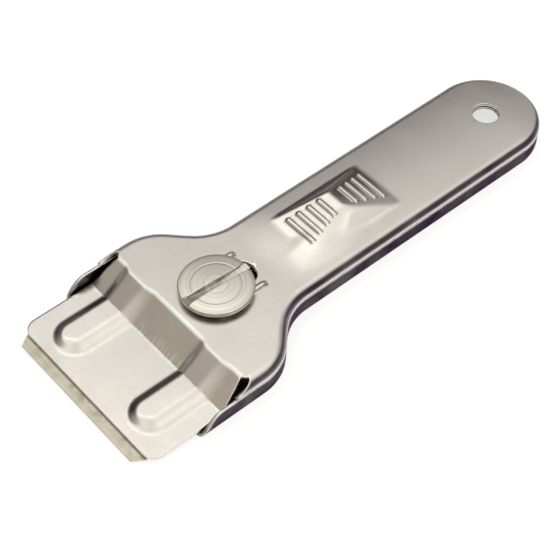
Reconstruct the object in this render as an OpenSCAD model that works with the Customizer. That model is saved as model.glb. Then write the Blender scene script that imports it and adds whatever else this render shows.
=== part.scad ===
/* [Overall] */
// Length from the blade's edge to the end of the tail
total_l = 129; // [120:0.2:140]
// Width of the handle
handle_w = 25; // [22:0.2:28]
// Width of the head
head_w = 46.2; // [45:0.2:50]
// Height of the flat top face
body_h = 7.5; // [7:0.1:9]
// Gap in the seam between the two shells
seam_gap = 0.5; // [0.3:0.05:0.8]
/* [Sheet] */
// Sheet of the upper shell
upper_t = 0.8; // [0.7:0.05:1]
// Sheet of the lower shell
lower_t = 0.7; // [0.6:0.05:0.9]
// Height of the lower shell's rim
rim_h = 5; // [4.6:0.1:5.2]
// Outer radius of the upper shell's rolled edge
edge_r = 1.9; // [1.4:0.1:2.2]
// Outer radius under the lower shell's wall
foot_r = 2; // [1.5:0.1:2.5]
// Gap between pieces that slide flat on each other
slide_gap = 0.03; // [0.02:0.01:0.06]
/* [Shoulders] */
// Slope of the shoulders in plan, in degrees
shoulder_a = 46; // [40:1:50]
// Radius where the shoulder leaves the head
shoulder_out_r = 12; // [9:0.5:13]
// Radius where the shoulder runs into the handle
shoulder_in_r = 12.5; // [10:0.5:14]
// Distance from the screw forward to the start of the shoulder
shoulder_lead = 6.3; // [4:0.1:8]
/* [Jaw] */
// How far the blade stands out of the jaw
blade_show = 2.6; // [2:0.1:3.2]
// Width of the upper jaw
jaw_w = 43.6; // [42.6:0.2:44]
// How far the step's foot stands in front of the blade's back
step_lead = 1.6; // [1.2:0.1:2.2]
// Radius of the upper jaw's front corners
jaw_corner_r = 3; // [1.5:0.5:4]
// Length of the step from the jaw up to the top face
step_l = 6.1; // [5.8:0.1:7]
// Width at the top of the step
step_top_w = 40.4; // [38:0.2:41]
// Radius inside the bend at the foot of the step
foot_bend_r = 0.8; // [0.5:0.1:1.2]
// Radius outside the bend at the top of the step
top_bend_r = 2; // [1.5:0.1:2.5]
// Width of the lower jaw
lower_jaw_w = 40.4; // [39:0.2:41]
// How far the lower jaw stays behind the upper one
lower_jaw_set = 0.9; // [0.5:0.1:2]
// Distance from the blade's edge to the foot of the cheeks
cheek_set = 14.3; // [13:0.1:16]
// Radius of the cheeks' front corners
cheek_r = 7; // [6:0.5:7.5]
// How far the corner's circle passes over the rim
cheek_crown = 0.3; // [0.2:0.1:0.5]
// How far the upper flange reaches forward past the step
flange_lead = 3.3; // [2:0.1:4]
/* [Beads] */
// Distance of each bead from the middle
bead_y = 12.6; // [12:0.1:13]
// Width of a bead
bead_w = 8.6; // [8:0.1:9]
// Height of a bead over the jaw
bead_h = 0.8; // [0.7:0.05:0.9]
// Width of a bead's sloping side
bead_side = 1.3; // [1:0.1:1.6]
// Distance from the jaw's front to the beads
bead_set = 2.6; // [2:0.1:3.5]
// How far a bead stands out at the top of the step
bead_top_h = 0.3; // [0.2:0.05:0.5]
/* [Blade] */
// Width of the blade
blade_w = 40; // [38:0.5:40]
// Length of the blade, edge to back
blade_l = 22; // [20:0.5:22]
// Thickness of the blade
blade_t = 0.3; // [0.25:0.05:0.4]
// Amount cut off the ends of the edge, to each side
blade_cut = 1.6; // [1:0.1:2]
// Width of the ground bevel
bevel_l = 0.9; // [0.5:0.1:1.2]
// Diameter of the pegs that hold the blade
peg_d = 3; // [2.5:0.1:3.5]
// Clearance round a peg in the blade
peg_clear = 0.1; // [0.05:0.05:0.2]
// Height of the pegs above the blade
peg_h = 0.5; // [0.3:0.05:0.6]
/* [Carriage] */
// Sheet of the carriage
carriage_t = 0.4; // [0.35:0.05:0.5]
// Width of the carriage's tongue under the blade
tongue_w = 38; // [36:0.5:39]
// How far the tongue stays behind the lower jaw's front
tongue_set = 0.4; // [0.2:0.1:1]
// Width of the carriage's rear plate
rear_w = 20; // [18:0.5:24]
// Length of the carriage's rise
rise_l = 2; // [1.8:0.1:2.2]
// Reach of the rear plate behind the screw
rear_reach = 8; // [7:0.5:9]
// Travel of the carriage
travel = 5.6; // [4.5:0.1:6]
/* [Screw] */
// Distance from the blade's edge to the screw
screw_set = 36.9; // [36:0.1:40]
// Diameter of the screw's head
head_d = 16.2; // [15:0.2:17]
// Thickness of the screw's head
head_t = 1.2; // [1.1:0.1:1.6]
// Bevel round the head
head_bevel = 0.35; // [0.2:0.05:0.5]
// Diameter of the shank
shank_d = 6; // [5:0.5:6]
// Width of the coin slot
coin_w = 1.8; // [1.4:0.1:2.2]
// Depth of the coin slot in the middle
coin_depth = 1; // [0.8:0.05:1.05]
// Radius of the saw that cuts the coin slot
coin_saw_r = 48; // [40:1:60]
// Thickness of the washer under the head
washer_t = 1.1; // [1:0.05:1.3]
// Length of the washer along the tool
washer_l = 11; // [10:0.5:12]
// Clearance of the washer between the guide ribs
washer_clear = 0.2; // [0.1:0.05:0.3]
// Width of the slot in the upper shell
slot_w = 7; // [6.4:0.2:7.2]
// Clearance of the shank at both ends of that slot
slot_clear = 0.2; // [0.1:0.05:0.4]
/* [Nut] */
// Diameter of the nut's flange
flange_d = 12.4; // [12:0.2:13]
// Thickness of the nut's flange
flange_t = 1.5; // [1.2:0.1:1.6]
// Gap between the nut's flange and the table
flange_lift = 0.45; // [0.3:0.05:0.5]
// Width of the nut's neck in the lower shell's slot
neck_w = 9; // [8.6:0.1:9.4]
// Length of the nut's neck along the tool
neck_l = 10; // [9.6:0.1:10.4]
// Ledge that carries the carriage
neck_ledge = 0.5; // [0.3:0.1:0.6]
// Height of the nut's top above the table
nut_top = 5.6; // [5:0.1:6]
// Running clearance between the screw and the nut, to each side
thread_clear = 0.05; // [0.03:0.01:0.08]
// Clearance of the neck in the slot, to each side
neck_clear = 0.1; // [0.05:0.05:0.2]
// Width of the raised pad's sloping side
pad_side = 1.5; // [1.2:0.1:1.6]
// Room round the flange under the pad
pad_room = 0.4; // [0.3:0.1:0.6]
/* [Guide ribs] */
// Distance of each guide rib from the middle
guide_y = 5.2; // [5:0.1:5.6]
// Width of a guide rib
guide_w = 1.5; // [1.2:0.1:1.6]
// Height of a guide rib
guide_h = 0.8; // [0.6:0.05:0.9]
// Reach of the guide ribs in front of the screw
guide_lead = 5.5; // [4:0.5:6]
/* [Grip] */
// Distance from the screw back to the grip's crest
grip_set = 33.7; // [33:0.1:36]
// Length of the grip's foot
grip_l = 23.6; // [22:0.2:25]
// Width of the grip's foot
grip_w = 15; // [14:0.2:16]
// Width of the crest
crest_w = 6; // [5:0.2:7]
// Height of the crest over the top face
grip_h = 4.1; // [3.5:0.1:4.5]
// Number of ridges on each slope
ridge_n = 4; // [3:1:5]
// Distance from one ridge to the next
ridge_pitch = 2.45; // [2.2:0.05:2.5]
// Distance from the crest to the first ridge
ridge_first = 2.9; // [2.5:0.1:3.2]
// Diameter of a ridge
ridge_d = 1; // [0.8:0.1:1.2]
// Width of the ridges next to the crest
ridge_top_w = 6; // [5:0.5:7]
// Width of the ridges next to the foot
ridge_foot_w = 9; // [8:0.5:10]
/* [Hang hole] */
// Diameter of the hang hole
hole_d = 6.4; // [5.5:0.1:7]
// Diameter of the boss's flat top round the hang hole
boss_top_d = 11; // [10:0.5:12]
// Diameter of the boss's foot
boss_foot_d = 18.6; // [17:0.2:19]
// Gap between the boss and the upper shell
boss_gap = 0.05; // [0.03:0.01:0.1]
/* [Hidden] */
$fn = 64;
bend_steps = 6;
tail_steps = 24;
cheek_steps = 10;
over = 1;
nickel = [0.80, 0.78, 0.74];
nickel_dark = [0.62, 0.60, 0.57];
steel = [0.80, 0.78, 0.70];
plated = [0.72, 0.69, 0.60];

// Places along the tool, forward is minus
edge_x = -total_l / 2;
blade_back = edge_x + blade_l;
jaw_x = edge_x + blade_show;
step_x = blade_back - step_lead;
top_x = step_x + step_l;
tail_x = total_l / 2 - handle_w / 2;
screw_x = edge_x + screw_set;
shoulder_x = screw_x - shoulder_lead;
grip_x = screw_x + grip_set;
flange_x = top_x - flange_lead;
cheek_x = edge_x + cheek_set;
lower_jaw_x = jaw_x + lower_jaw_set;
peg_x = edge_x + blade_l / 2;

// Heights of the stack in the jaw
tongue_z = lower_t + slide_gap;
blade_z = tongue_z + carriage_t;
jaw_z = blade_z + blade_t + slide_gap;
jaw_top = jaw_z + upper_t;
under_z = body_h - upper_t;
upper_rim_z = rim_h + seam_gap;

// Heights of the nut and the pad over it
pad_h = flange_lift + flange_t + slide_gap;
pad_top = pad_h + lower_t;
rear_z = pad_top + slide_gap;
pad_r = flange_d / 2 + pad_room + pad_side;
boss_h = under_z - boss_gap - lower_t;

// Plan of the shoulders
shoulder_drop = (head_w - handle_w) / 2;
arc_drop = (shoulder_out_r + shoulder_in_r) * (1 - cos(shoulder_a));
shoulder_l = (shoulder_drop - arc_drop) / sin(shoulder_a);
neck_x = shoulder_x + (shoulder_out_r + shoulder_in_r) * sin(shoulder_a) + shoulder_l * cos(shoulder_a);
out_c = [shoulder_x, head_w / 2 - shoulder_out_r];
in_c = [neck_x, handle_w / 2 + shoulder_in_r];

// Points of an arc about c, from angle a to angle b
function arc(c, r, a, b, steps = bend_steps) =
    [for (i = [0:steps]) let (t = a + (b - a) * i / steps) c + r * [cos(t), sin(t)]];

// One side of the tool's outline, inset, from the head's front to the handle
function side_points(front, inset) = concat(
    [[front, head_w / 2 - inset]],
    arc(out_c, shoulder_out_r - inset, 90, 90 - shoulder_a),
    arc(in_c, shoulder_in_r + inset, 270 - shoulder_a, 270));

function mirrored(points) = [for (i = [len(points) - 1:-1:0]) [points[i][0], -points[i][1]]];

function outline(front, inset) = concat(
    side_points(front, inset),
    arc([tail_x, 0], handle_w / 2 - inset, 90, -90, tail_steps),
    mirrored(side_points(front, inset)));

// Solid form with rounded edges: each entry of section is an inset and a height, from below upward
module edge_loft(front, section) {
    rings = [for (s = section) [for (p = outline(front, s[0])) [p[0], p[1], s[1]]]];
    n = len(rings[0]);
    tip = (n - 1) / 2;
    top = (len(rings) - 1) * n;
    // Flat ends are strips across the tool, from the head's front to the tail's tip
    strips = concat([for (i = [0:tip - 2]) [i, i + 1, n - 2 - i, n - 1 - i]], [[tip - 1, tip, tip + 1]]);
    polyhedron([for (ring = rings) each ring], concat(
        [for (strip = strips) [for (k = [len(strip) - 1:-1:0]) strip[k]]],
        [for (strip = strips) [for (i = strip) top + i]],
        [for (k = [0:len(rings) - 2], i = [0:n - 1]) let (j = (i + 1) % n)
            [k * n + i, k * n + j, (k + 1) * n + j, (k + 1) * n + i]]));
}

// The upper shell's edge rolls down from the top face and ends in a short upright lip at the seam
roll_r = min(edge_r, body_h - upper_rim_z - slide_gap);
roll_c = [roll_r, body_h - roll_r];
upper_outer = concat([[0, upper_rim_z]], arc(roll_c, roll_r, 180, 90));
upper_inner = concat([[upper_t, upper_rim_z - over]], arc(roll_c, roll_r - upper_t, 180, 90));
foot_c = [foot_r, foot_r];
lower_outer = concat(arc(foot_c, foot_r, 270, 180), [[0, rim_h]]);
lower_inner = concat(arc(foot_c, foot_r - lower_t, 270, 180), [[lower_t, rim_h + over]]);

// Raised pad with sloping sides and a skirt below: l is the distance between its two round ends
module raised_pad(l, r, side, h, skirt) {
    half = [[0, -skirt], [r, -skirt], [r, 0], [r - side, h], [0, h]];
    for (turn = [0, 180]) rotate(turn) {
        translate([l / 2, 0, 0]) rotate(-90) rotate_extrude(angle = 180) polygon(half);
        if (l > 0) rotate([90, 0, 90]) linear_extrude(l / 2) polygon(half);
        if (l > 0) rotate([90, 0, 90]) linear_extrude(l / 2) mirror([1, 0]) polygon(half);
    }
}

// Upright piece with round ends, from x0 to x1 and z0 to z1
module round_bar(x0, x1, w, z0, z1) {
    translate([x0 + w / 2, 0, z0]) cylinder(d = w, h = z1 - z0);
    translate([x1 - w / 2, 0, z0]) cylinder(d = w, h = z1 - z0);
    translate([x0 + w / 2, -w / 2, z0]) cube([x1 - x0 - w, w, z1 - z0]);
}

// Side view of the sheet from the jaw over the step to the top face
step_a = atan2(body_h - jaw_top, step_l);
bend_c = [step_x - foot_bend_r * tan(step_a / 2), jaw_top + foot_bend_r];
top_c = [top_x + top_bend_r * tan(step_a / 2), body_h - top_bend_r];
sheet_end = top_c[0] + over;
sheet_side = concat(
    [[jaw_x, jaw_top]],
    arc(bend_c, foot_bend_r, -90, step_a - 90),
    arc(top_c, top_bend_r, 90 + step_a, 90),
    [[sheet_end, body_h], [sheet_end, under_z]],
    arc(top_c, top_bend_r - upper_t, 90, 90 + step_a),
    arc(bend_c, foot_bend_r + upper_t, step_a - 90, -90),
    [[jaw_x, jaw_z]]);

// Plan of that sheet: the jaw with its round corners, and the step that narrows
jaw_side = concat(
    arc([jaw_x + jaw_corner_r, jaw_w / 2 - jaw_corner_r], jaw_corner_r, 180, 90),
    [[step_x, jaw_w / 2], [top_x, step_top_w / 2], [sheet_end, step_top_w / 2]]);

module front_sheet() {
    intersection() {
        translate([0, jaw_w / 2, 0]) rotate([90, 0, 0]) linear_extrude(jaw_w) polygon(sheet_side);
        linear_extrude(body_h) polygon(concat(jaw_side, mirrored(jaw_side)));
    }
}

// Beads: each runs back along the jaw and up the step, where it grows flatter
bead_c = jaw_x + bead_set + bead_w / 2;
bead_low = [step_x - bead_h * tan(step_a / 2), jaw_top + bead_h];
bead_high = [top_x - bead_top_h / sin(step_a), body_h];
bead_run = bead_high - bead_low;
bead_a = atan2(bead_run[1], bead_run[0]);
bead_section = [[-bead_w / 2, -bead_h], [bead_w / 2, -bead_h], [bead_w / 2 - bead_side, 0],
    [bead_side - bead_w / 2, 0]];

module bead(sink, skirt, top) {
    translate([step_x, 0, jaw_top - sink]) intersection() {
        raised_pad(2 * (step_x - bead_c), bead_w / 2, bead_side, bead_h, skirt);
        translate([bead_c - step_x - bead_w, -bead_w, -skirt])
            cube([bead_w + bead_low[0] - bead_c, 2 * bead_w, skirt + bead_h]);
    }
    intersection() {
        translate([bead_low[0], 0, bead_low[1]]) rotate([0, -bead_a, 0])
            translate([-bead_w, 0, -sink]) rotate([90, 0, 90])
            linear_extrude(norm(bead_run) + 2 * bead_w) union() {
                polygon(bead_section);
                translate([-bead_w / 2, -bead_h - skirt]) square([bead_w, skirt]);
            }
        translate([bead_low[0] - over, -bead_w, jaw_z - skirt])
            cube([top_x - bead_low[0] + over, 2 * bead_w, top - jaw_z + skirt]);
    }
}

// Hip roof of the thumb grip, with a skirt below its foot
module grip_roof(skirt) {
    foot = [[-1, -1], [1, -1], [1, 1], [-1, 1]];
    points = concat(
        [for (p = foot) [p[0] * grip_l / 2, p[1] * grip_w / 2, -skirt]],
        [for (p = foot) [p[0] * grip_l / 2, p[1] * grip_w / 2, 0]],
        [[0, -crest_w / 2, grip_h], [0, crest_w / 2, grip_h]]);
    polyhedron(points, [[0, 1, 2, 3], [0, 4, 5, 1], [1, 5, 6, 2], [2, 6, 7, 3], [3, 7, 4, 0],
        [4, 8, 5], [5, 8, 9, 6], [6, 9, 7], [7, 9, 8, 4]]);
}

module grip_ridges() {
    for (side = [-1, 1], i = [0:ridge_n - 1]) {
        d = ridge_first + i * ridge_pitch;
        w = ridge_top_w + (ridge_foot_w - ridge_top_w) * i / max(1, ridge_n - 1);
        translate([side * d, w / 2, grip_h * (1 - d / (grip_l / 2))])
            rotate([90, 0, 0]) cylinder(d = ridge_d, h = w);
    }
}

// The slot that the screw slides in, as long as the carriage's travel
slot_x0 = screw_x - shank_d / 2 - slot_clear;
slot_x1 = screw_x + travel + shank_d / 2 + slot_clear;

// The rolled skin of the upper shell, open in front, with its flange ends tapered
module upper_skin() {
    difference() {
        difference() {
            edge_loft(flange_x - over, upper_outer);
            edge_loft(flange_x - 2 * over, upper_inner);
        }
        flange_taper();
    }
}

module jaw_sheet() {
    difference() {
        union() {
            front_sheet();
            for (side = [-1, 1]) translate([0, side * bead_y, 0]) bead(0, upper_t / 2, body_h);
        }
        for (side = [-1, 1]) translate([0, side * bead_y, 0]) bead(upper_t, upper_t, under_z);
    }
}

module upper_shell() {
    color(nickel) difference() {
        difference() {
            union() {
                upper_skin();
                jaw_sheet();
                translate([grip_x, 0, body_h]) grip_roof(upper_t / 2);
            }
            translate([grip_x, 0, under_z]) grip_roof(over);
        }
        round_bar(slot_x0, slot_x1, slot_w, under_z - over, body_h + over);
        translate([tail_x, 0, under_z - over]) cylinder(d = hole_d, h = upper_t + 2 * over);
    }
    color(nickel) {
        translate([grip_x, 0, body_h]) grip_ridges();
        for (side = [-1, 1]) translate([0, side * guide_y, 0])
            round_bar(screw_x - guide_lead, slot_x1, guide_w, under_z, body_h + guide_h);
    }
}

// Cuts the upper flange's front end off in a slope, from the top face down and forward
module flange_taper() {
    low = [flange_x, upper_rim_z];
    high = [top_c[0] + over / 2, body_h];
    step = (high - low) / norm(high - low) * over;
    translate([0, head_w / 2 + over, 0]) rotate([90, 0, 0]) linear_extrude(head_w + 2 * over)
        polygon([low - step, high + step, [flange_x - 3 * over, high[1] + step[1]],
            [flange_x - 3 * over, low[1] - step[1]]]);
}

// Cheeks: the lower wall's front ends are cut to a round corner
module cheek_cut() {
    drop = cheek_r - rim_h - cheek_crown;
    c = [cheek_x + sqrt(cheek_r * cheek_r - drop * drop), -drop];
    front = cheek_x - 3 * over;
    translate([0, head_w / 2 + over, 0]) rotate([90, 0, 0]) linear_extrude(head_w + 2 * over)
        polygon(concat(arc(c, cheek_r, 90, 180 - asin((drop - over) / cheek_r), cheek_steps),
            [[front, -over], [front, rim_h + over], [c[0], rim_h + over]]));
}

lower_jaw_side = concat(
    arc([lower_jaw_x + jaw_corner_r, lower_jaw_w / 2 - jaw_corner_r], jaw_corner_r, 180, 90),
    [[cheek_x + over, lower_jaw_w / 2]]);

module lower_skin() {
    difference() {
        difference() {
            edge_loft(cheek_x - over, lower_outer);
            edge_loft(cheek_x - 2 * over, lower_inner);
        }
        cheek_cut();
    }
}

module lower_shell() {
    color(nickel_dark) difference() {
        union() {
            lower_skin();
            linear_extrude(lower_t) polygon(concat(lower_jaw_side, mirrored(lower_jaw_side)));
            translate([screw_x + travel / 2, 0, lower_t])
                raised_pad(travel, pad_r, pad_side, pad_h, lower_t / 2);
            translate([tail_x, 0, lower_t])
                cylinder(d1 = boss_foot_d, d2 = boss_top_d, h = boss_h);
        }
        translate([screw_x + travel / 2, 0, 0]) raised_pad(travel, pad_r, pad_side, pad_h, over);
        round_bar(screw_x - neck_l / 2 - neck_clear, screw_x + travel + neck_l / 2 + neck_clear,
            neck_w + 2 * neck_clear, pad_h - over, pad_top + over);
        translate([tail_x, 0, 0]) cylinder(d1 = boss_foot_d, d2 = boss_top_d, h = boss_h);
        translate([tail_x, 0, -over]) cylinder(d = boss_foot_d, h = over);
        translate([tail_x, 0, boss_h - over]) cylinder(d = hole_d, h = lower_t + 2 * over);
    }
}

// Carriage: a tongue under the blade, a rise, and a plate that the nut is fixed to
rise_x = blade_back + slide_gap;
tongue_x = lower_jaw_x + tongue_set;
carriage_end = screw_x + rear_reach;
rise_end = rise_x + rise_l;
bend_shift = carriage_t * tan(atan2(rear_z - tongue_z, rise_l) / 2);
carriage_side = [[tongue_x, tongue_z], [rise_x + bend_shift, tongue_z], [rise_end + bend_shift, rear_z],
    [carriage_end, rear_z], [carriage_end, rear_z + carriage_t], [rise_end, rear_z + carriage_t],
    [rise_x, blade_z], [tongue_x, blade_z]];
carriage_plan = [[tongue_x, tongue_w / 2], [rise_x - rise_l, tongue_w / 2], [rise_x, rear_w / 2],
    [carriage_end, rear_w / 2]];

module carriage() {
    color(steel) difference() {
        intersection() {
            translate([0, tongue_w / 2, 0]) rotate([90, 0, 0]) linear_extrude(tongue_w) polygon(carriage_side);
            linear_extrude(body_h) polygon(concat(carriage_plan, mirrored(carriage_plan)));
        }
        round_bar(screw_x - neck_l / 2 + neck_ledge - slide_gap, screw_x + neck_l / 2 - neck_ledge + slide_gap,
            neck_w - 2 * neck_ledge + 2 * slide_gap, rear_z - over, rear_z + over);
        for (side = [-1, 1]) translate([peg_x, side * bead_y, tongue_z - over])
            cylinder(d = peg_d + 2 * slide_gap, h = carriage_t + 2 * over);
    }
}

module blade_pegs() {
    color(plated) for (side = [-1, 1]) translate([peg_x, side * bead_y, tongue_z])
        cylinder(d = peg_d, h = carriage_t + blade_t + peg_h);
}

module blade() {
    cut_l = blade_show;
    mid = blade_z + blade_t / 2;
    half = [[edge_x, blade_w / 2 - blade_cut], [edge_x + cut_l, blade_w / 2], [blade_back, blade_w / 2]];
    color(steel) difference() {
        intersection() {
            translate([0, blade_w / 2, 0]) rotate([90, 0, 0]) linear_extrude(blade_w)
                polygon([[edge_x, mid], [edge_x + bevel_l, blade_z], [blade_back, blade_z],
                    [blade_back, blade_z + blade_t], [edge_x + bevel_l, blade_z + blade_t]]);
            linear_extrude(body_h) polygon(concat(half, mirrored(half)));
        }
        for (side = [-1, 1]) translate([peg_x, side * bead_y, blade_z - over])
            cylinder(d = peg_d + 2 * peg_clear, h = blade_t + 2 * over);
    }
}

module clamp_nut() {
    color(plated) difference() {
        union() {
            translate([screw_x, 0, flange_lift]) cylinder(d = flange_d, h = flange_t);
            round_bar(screw_x - neck_l / 2, screw_x + neck_l / 2, neck_w, flange_lift, rear_z);
            round_bar(screw_x - neck_l / 2 + neck_ledge, screw_x + neck_l / 2 - neck_ledge,
                neck_w - 2 * neck_ledge, flange_lift, nut_top);
        }
        translate([screw_x, 0, 0]) cylinder(d = shank_d + 2 * thread_clear, h = nut_top + over);
    }
}

module washer() {
    w = 2 * (guide_y - guide_w / 2 - washer_clear);
    color(nickel_dark) translate([screw_x, 0, body_h]) difference() {
        translate([-washer_l / 2, -w / 2, 0]) cube([washer_l, w, washer_t]);
        translate([0, 0, -over]) cylinder(d = shank_d + 2 * washer_clear, h = washer_t + 2 * over);
    }
}

// Screw: a turned head with a bevel and a ring, a shank, and a sawn coin slot
head_z = body_h + washer_t;
head_top = head_z + head_t;
ring_r = head_d / 3;
ring_w = head_bevel;
shank_end = flange_lift + head_bevel;

module clamp_screw() {
    color(nickel) translate([screw_x, 0, 0]) difference() {
        rotate_extrude() polygon([[0, shank_end], [shank_d / 2 - head_bevel, shank_end],
            [shank_d / 2, shank_end + head_bevel], [shank_d / 2, head_z],
            [head_d / 2, head_z], [head_d / 2, head_top - head_bevel],
            [head_d / 2 - head_bevel, head_top], [ring_r + ring_w, head_top],
            [ring_r + ring_w / 2, head_top - ring_w / 3], [ring_r, head_top], [0, head_top]]);
        translate([0, coin_w / 2, head_top - coin_depth + coin_saw_r]) rotate([90, 0, 0])
            cylinder(r = coin_saw_r, h = coin_w, $fn = 128);
    }
}

lower_shell();
upper_shell();
carriage();
blade_pegs();
blade();
clamp_nut();
washer();
clamp_screw();
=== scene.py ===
"""Dressed model of a flat hand scraper that holds a single-edge razor blade.

Lengths in this file are millimetres until a mesh is made, where they become metres.
X runs from the blade's edge to the tail, Y across the tool, Z up out of the top face.
"""

import bpy
import numpy as np
from mathutils import Matrix, Vector


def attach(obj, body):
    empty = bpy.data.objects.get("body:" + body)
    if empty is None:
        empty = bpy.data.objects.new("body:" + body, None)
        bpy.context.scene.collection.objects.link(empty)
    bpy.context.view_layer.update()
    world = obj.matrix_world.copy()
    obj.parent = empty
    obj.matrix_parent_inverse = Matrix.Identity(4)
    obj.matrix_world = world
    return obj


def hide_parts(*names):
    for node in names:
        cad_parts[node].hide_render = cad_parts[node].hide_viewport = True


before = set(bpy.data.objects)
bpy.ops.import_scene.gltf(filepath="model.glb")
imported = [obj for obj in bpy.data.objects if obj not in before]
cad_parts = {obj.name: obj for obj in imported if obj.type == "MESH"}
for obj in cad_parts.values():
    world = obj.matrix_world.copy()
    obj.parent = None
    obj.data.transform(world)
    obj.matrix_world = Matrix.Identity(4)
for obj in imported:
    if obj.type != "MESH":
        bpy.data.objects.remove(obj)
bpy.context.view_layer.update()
MM = 0.001

# Main sizes of the tool, as in the part's source
TOTAL_L, HANDLE_W, HEAD_W, BODY_H = 129.0, 25.0, 46.2, 7.5
SEAM, UPPER_T, LOWER_T, RIM_H, EDGE_R, FOOT_R = 0.5, 0.8, 0.7, 5.0, 1.9, 2.0
SHOULDER_A, SHOULDER_OUT_R, SHOULDER_IN_R = np.radians(46), 12.0, 12.5
BLADE_D, STEP_LEAD, STEP_RUN, TRAVEL = 22, 1.6, 6.1, 5.6
EDGE_X = -TOTAL_L / 2
JAW_X = EDGE_X + 2.6
STEP_X = EDGE_X + BLADE_D - STEP_LEAD
TOP_X = STEP_X + STEP_RUN
SCREW_X = EDGE_X + 36.9
SHOULDER_X = SCREW_X - 6.3
GRIP_X = SCREW_X + 33.7
TAIL_X = TOTAL_L / 2 - HANDLE_W / 2
FLANGE_X = TOP_X - 3.3
CHEEK_X = EDGE_X + 14.3
LOWER_JAW_X = JAW_X + 0.9
JAW_W, JAW_R, STEP_TOP_W, LOWER_JAW_W = 43.6, 3.0, 40.4, 40.4
JAW_TOP = 2.26
RIM_Z = RIM_H + SEAM
HOLE_R, HEAD_R = 3.2, 8.1
HEAD_Z, HEAD_TOP = BODY_H + 1.1, BODY_H + 2.3
CHEEK_R, CHEEK_DROP = 7.0, 1.7
CHEEK_C = CHEEK_X + np.sqrt(CHEEK_R**2 - CHEEK_DROP**2)
PAD_X0, PAD_X1, PAD_R, PAD_SIDE, PAD_H = SCREW_X, SCREW_X + TRAVEL, 8.1, 1.5, 1.98
NECK_R, NECK_END = 4.6, 5.1
BOSS_FOOT_R, BOSS_TOP_R, BOSS_H = 9.3, 5.5, 5.95
SHANK_R, SHANK_END, HEAD_BEVEL, RING_R = 3.0, 0.8, 0.35, 5.4
COIN_HALF, SAW_R, COIN_Z = 0.9, 48.0, HEAD_TOP - 1.0

# The face lies a hair under the washer, so that the washer slides clear of it
FACE_H = BODY_H - 0.02
STEP_A = np.arctan2(FACE_H - JAW_TOP, STEP_RUN)
FOOT_BEND_R, TOP_BEND_R = 0.8, 2.0
JOIN_X = TOP_X + TOP_BEND_R * np.tan(STEP_A / 2) + 0.5

# Pressed forms, which are drawn here as they look and differ a little from the solids
BEAD_Y, BEAD_W, BEAD_H = 12.6, 9.2, 1.2
BEAD_C = JAW_X + 2.6 + BEAD_W / 2
SLOT_X0, SLOT_X1, SLOT_W = SCREW_X - 3.2, SCREW_X + 10.1, 7.0
GUIDE_Y, GUIDE_W, GUIDE_H, GUIDE_X0, GUIDE_X1 = 5.2, 1.3, 0.75, SCREW_X - 3.5, SCREW_X + 9.0
GRIP_H, CREST_R, HANDLE_CROWN = 3.35, 0.8, 0.34
FRONT_L, REAR_L = 11.8, 11.2
CREST_NEAR, CREST_FAR, FOOT_NEAR, FOOT_FAR = -2.6, 3.5, -7.3, 7.4
FRONT_PITCH, REAR_PITCH, RIDGE_MID, RIDGE_R = 2.45, 2.32, 0.35, 0.56
FRONT_RIDGES = 2.9 + FRONT_PITCH * np.arange(4)
REAR_RIDGES = 3.3 + REAR_PITCH * np.arange(4)
RIDGE_HALF = np.linspace(6, 9, 4) / 2

# ---------------- mesh making


def soft_max(a, b, k):
    """Greater of a and b, with a parabola of width k in place of the corner."""
    return np.maximum(a, b) + np.maximum(k - np.abs(a - b), 0) ** 2 / (4 * k)


def soft_min(a, b, k):
    return -soft_max(-a, -b, k)


def smooth(x, a, b):
    """0 before a, 1 after b, and a cubic ease between them."""
    t = np.clip((x - a) / (b - a), 0, 1)
    return t * t * (3 - 2 * t)


def spread(*stops):
    """Rising row of numbers: each stop is (value, count of steps up to it), the first one (value,)."""
    row = [np.array([stops[0][0]], float)]
    for (a, *_), (b, n) in zip(stops[:-1], stops[1:]):
        row.append(np.linspace(a, b, n + 1)[1:])
    return np.concatenate(row)


def grid_faces(rows, cols, close_cols=False):
    """Quads of a grid of rows by cols points, wound so that row cross column points outwards."""
    i, j = np.meshgrid(np.arange(rows - 1), np.arange(cols - (0 if close_cols else 1)), indexing="ij")
    k = (j + 1) % cols
    return np.stack([i * cols + j, (i + 1) * cols + j, (i + 1) * cols + k, i * cols + k], -1).reshape(-1, 4)


def weld(points, quads, step=1e-4):
    """Points that fall on one spot become one, and quads that lose more than one corner are dropped."""
    key = np.round(points / step).astype(np.int64)
    _, first, back = np.unique(key, axis=0, return_index=True, return_inverse=True)
    quads = back.reshape(-1)[quads]
    corners = 1 + (np.diff(np.sort(quads, axis=1), axis=1) != 0).sum(1)
    return points[first], quads[corners >= 3]


def join(*parts):
    """Several (points, quads) as one."""
    points, quads, n = [], [], 0
    for p, q in parts:
        points.append(p.reshape(-1, 3))
        quads.append(q + n)
        n += len(points[-1])
    return np.concatenate(points), np.concatenate(quads)


def face_normals(points, quads):
    """Half the cross product of the diagonals: its direction is the face's, its length the face's area."""
    return np.cross(points[quads[:, 2]] - points[quads[:, 0]], points[quads[:, 3]] - points[quads[:, 1]]) / 2


def vertex_normals(points, quads):
    """Sum of the face vectors round each point, made one long."""
    n = np.zeros_like(points)
    f = face_normals(points, quads)
    for c in range(4):
        np.add.at(n, quads[:, c], f)
    return n / np.maximum(np.linalg.norm(n, axis=1, keepdims=True), 1e-12)


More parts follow.
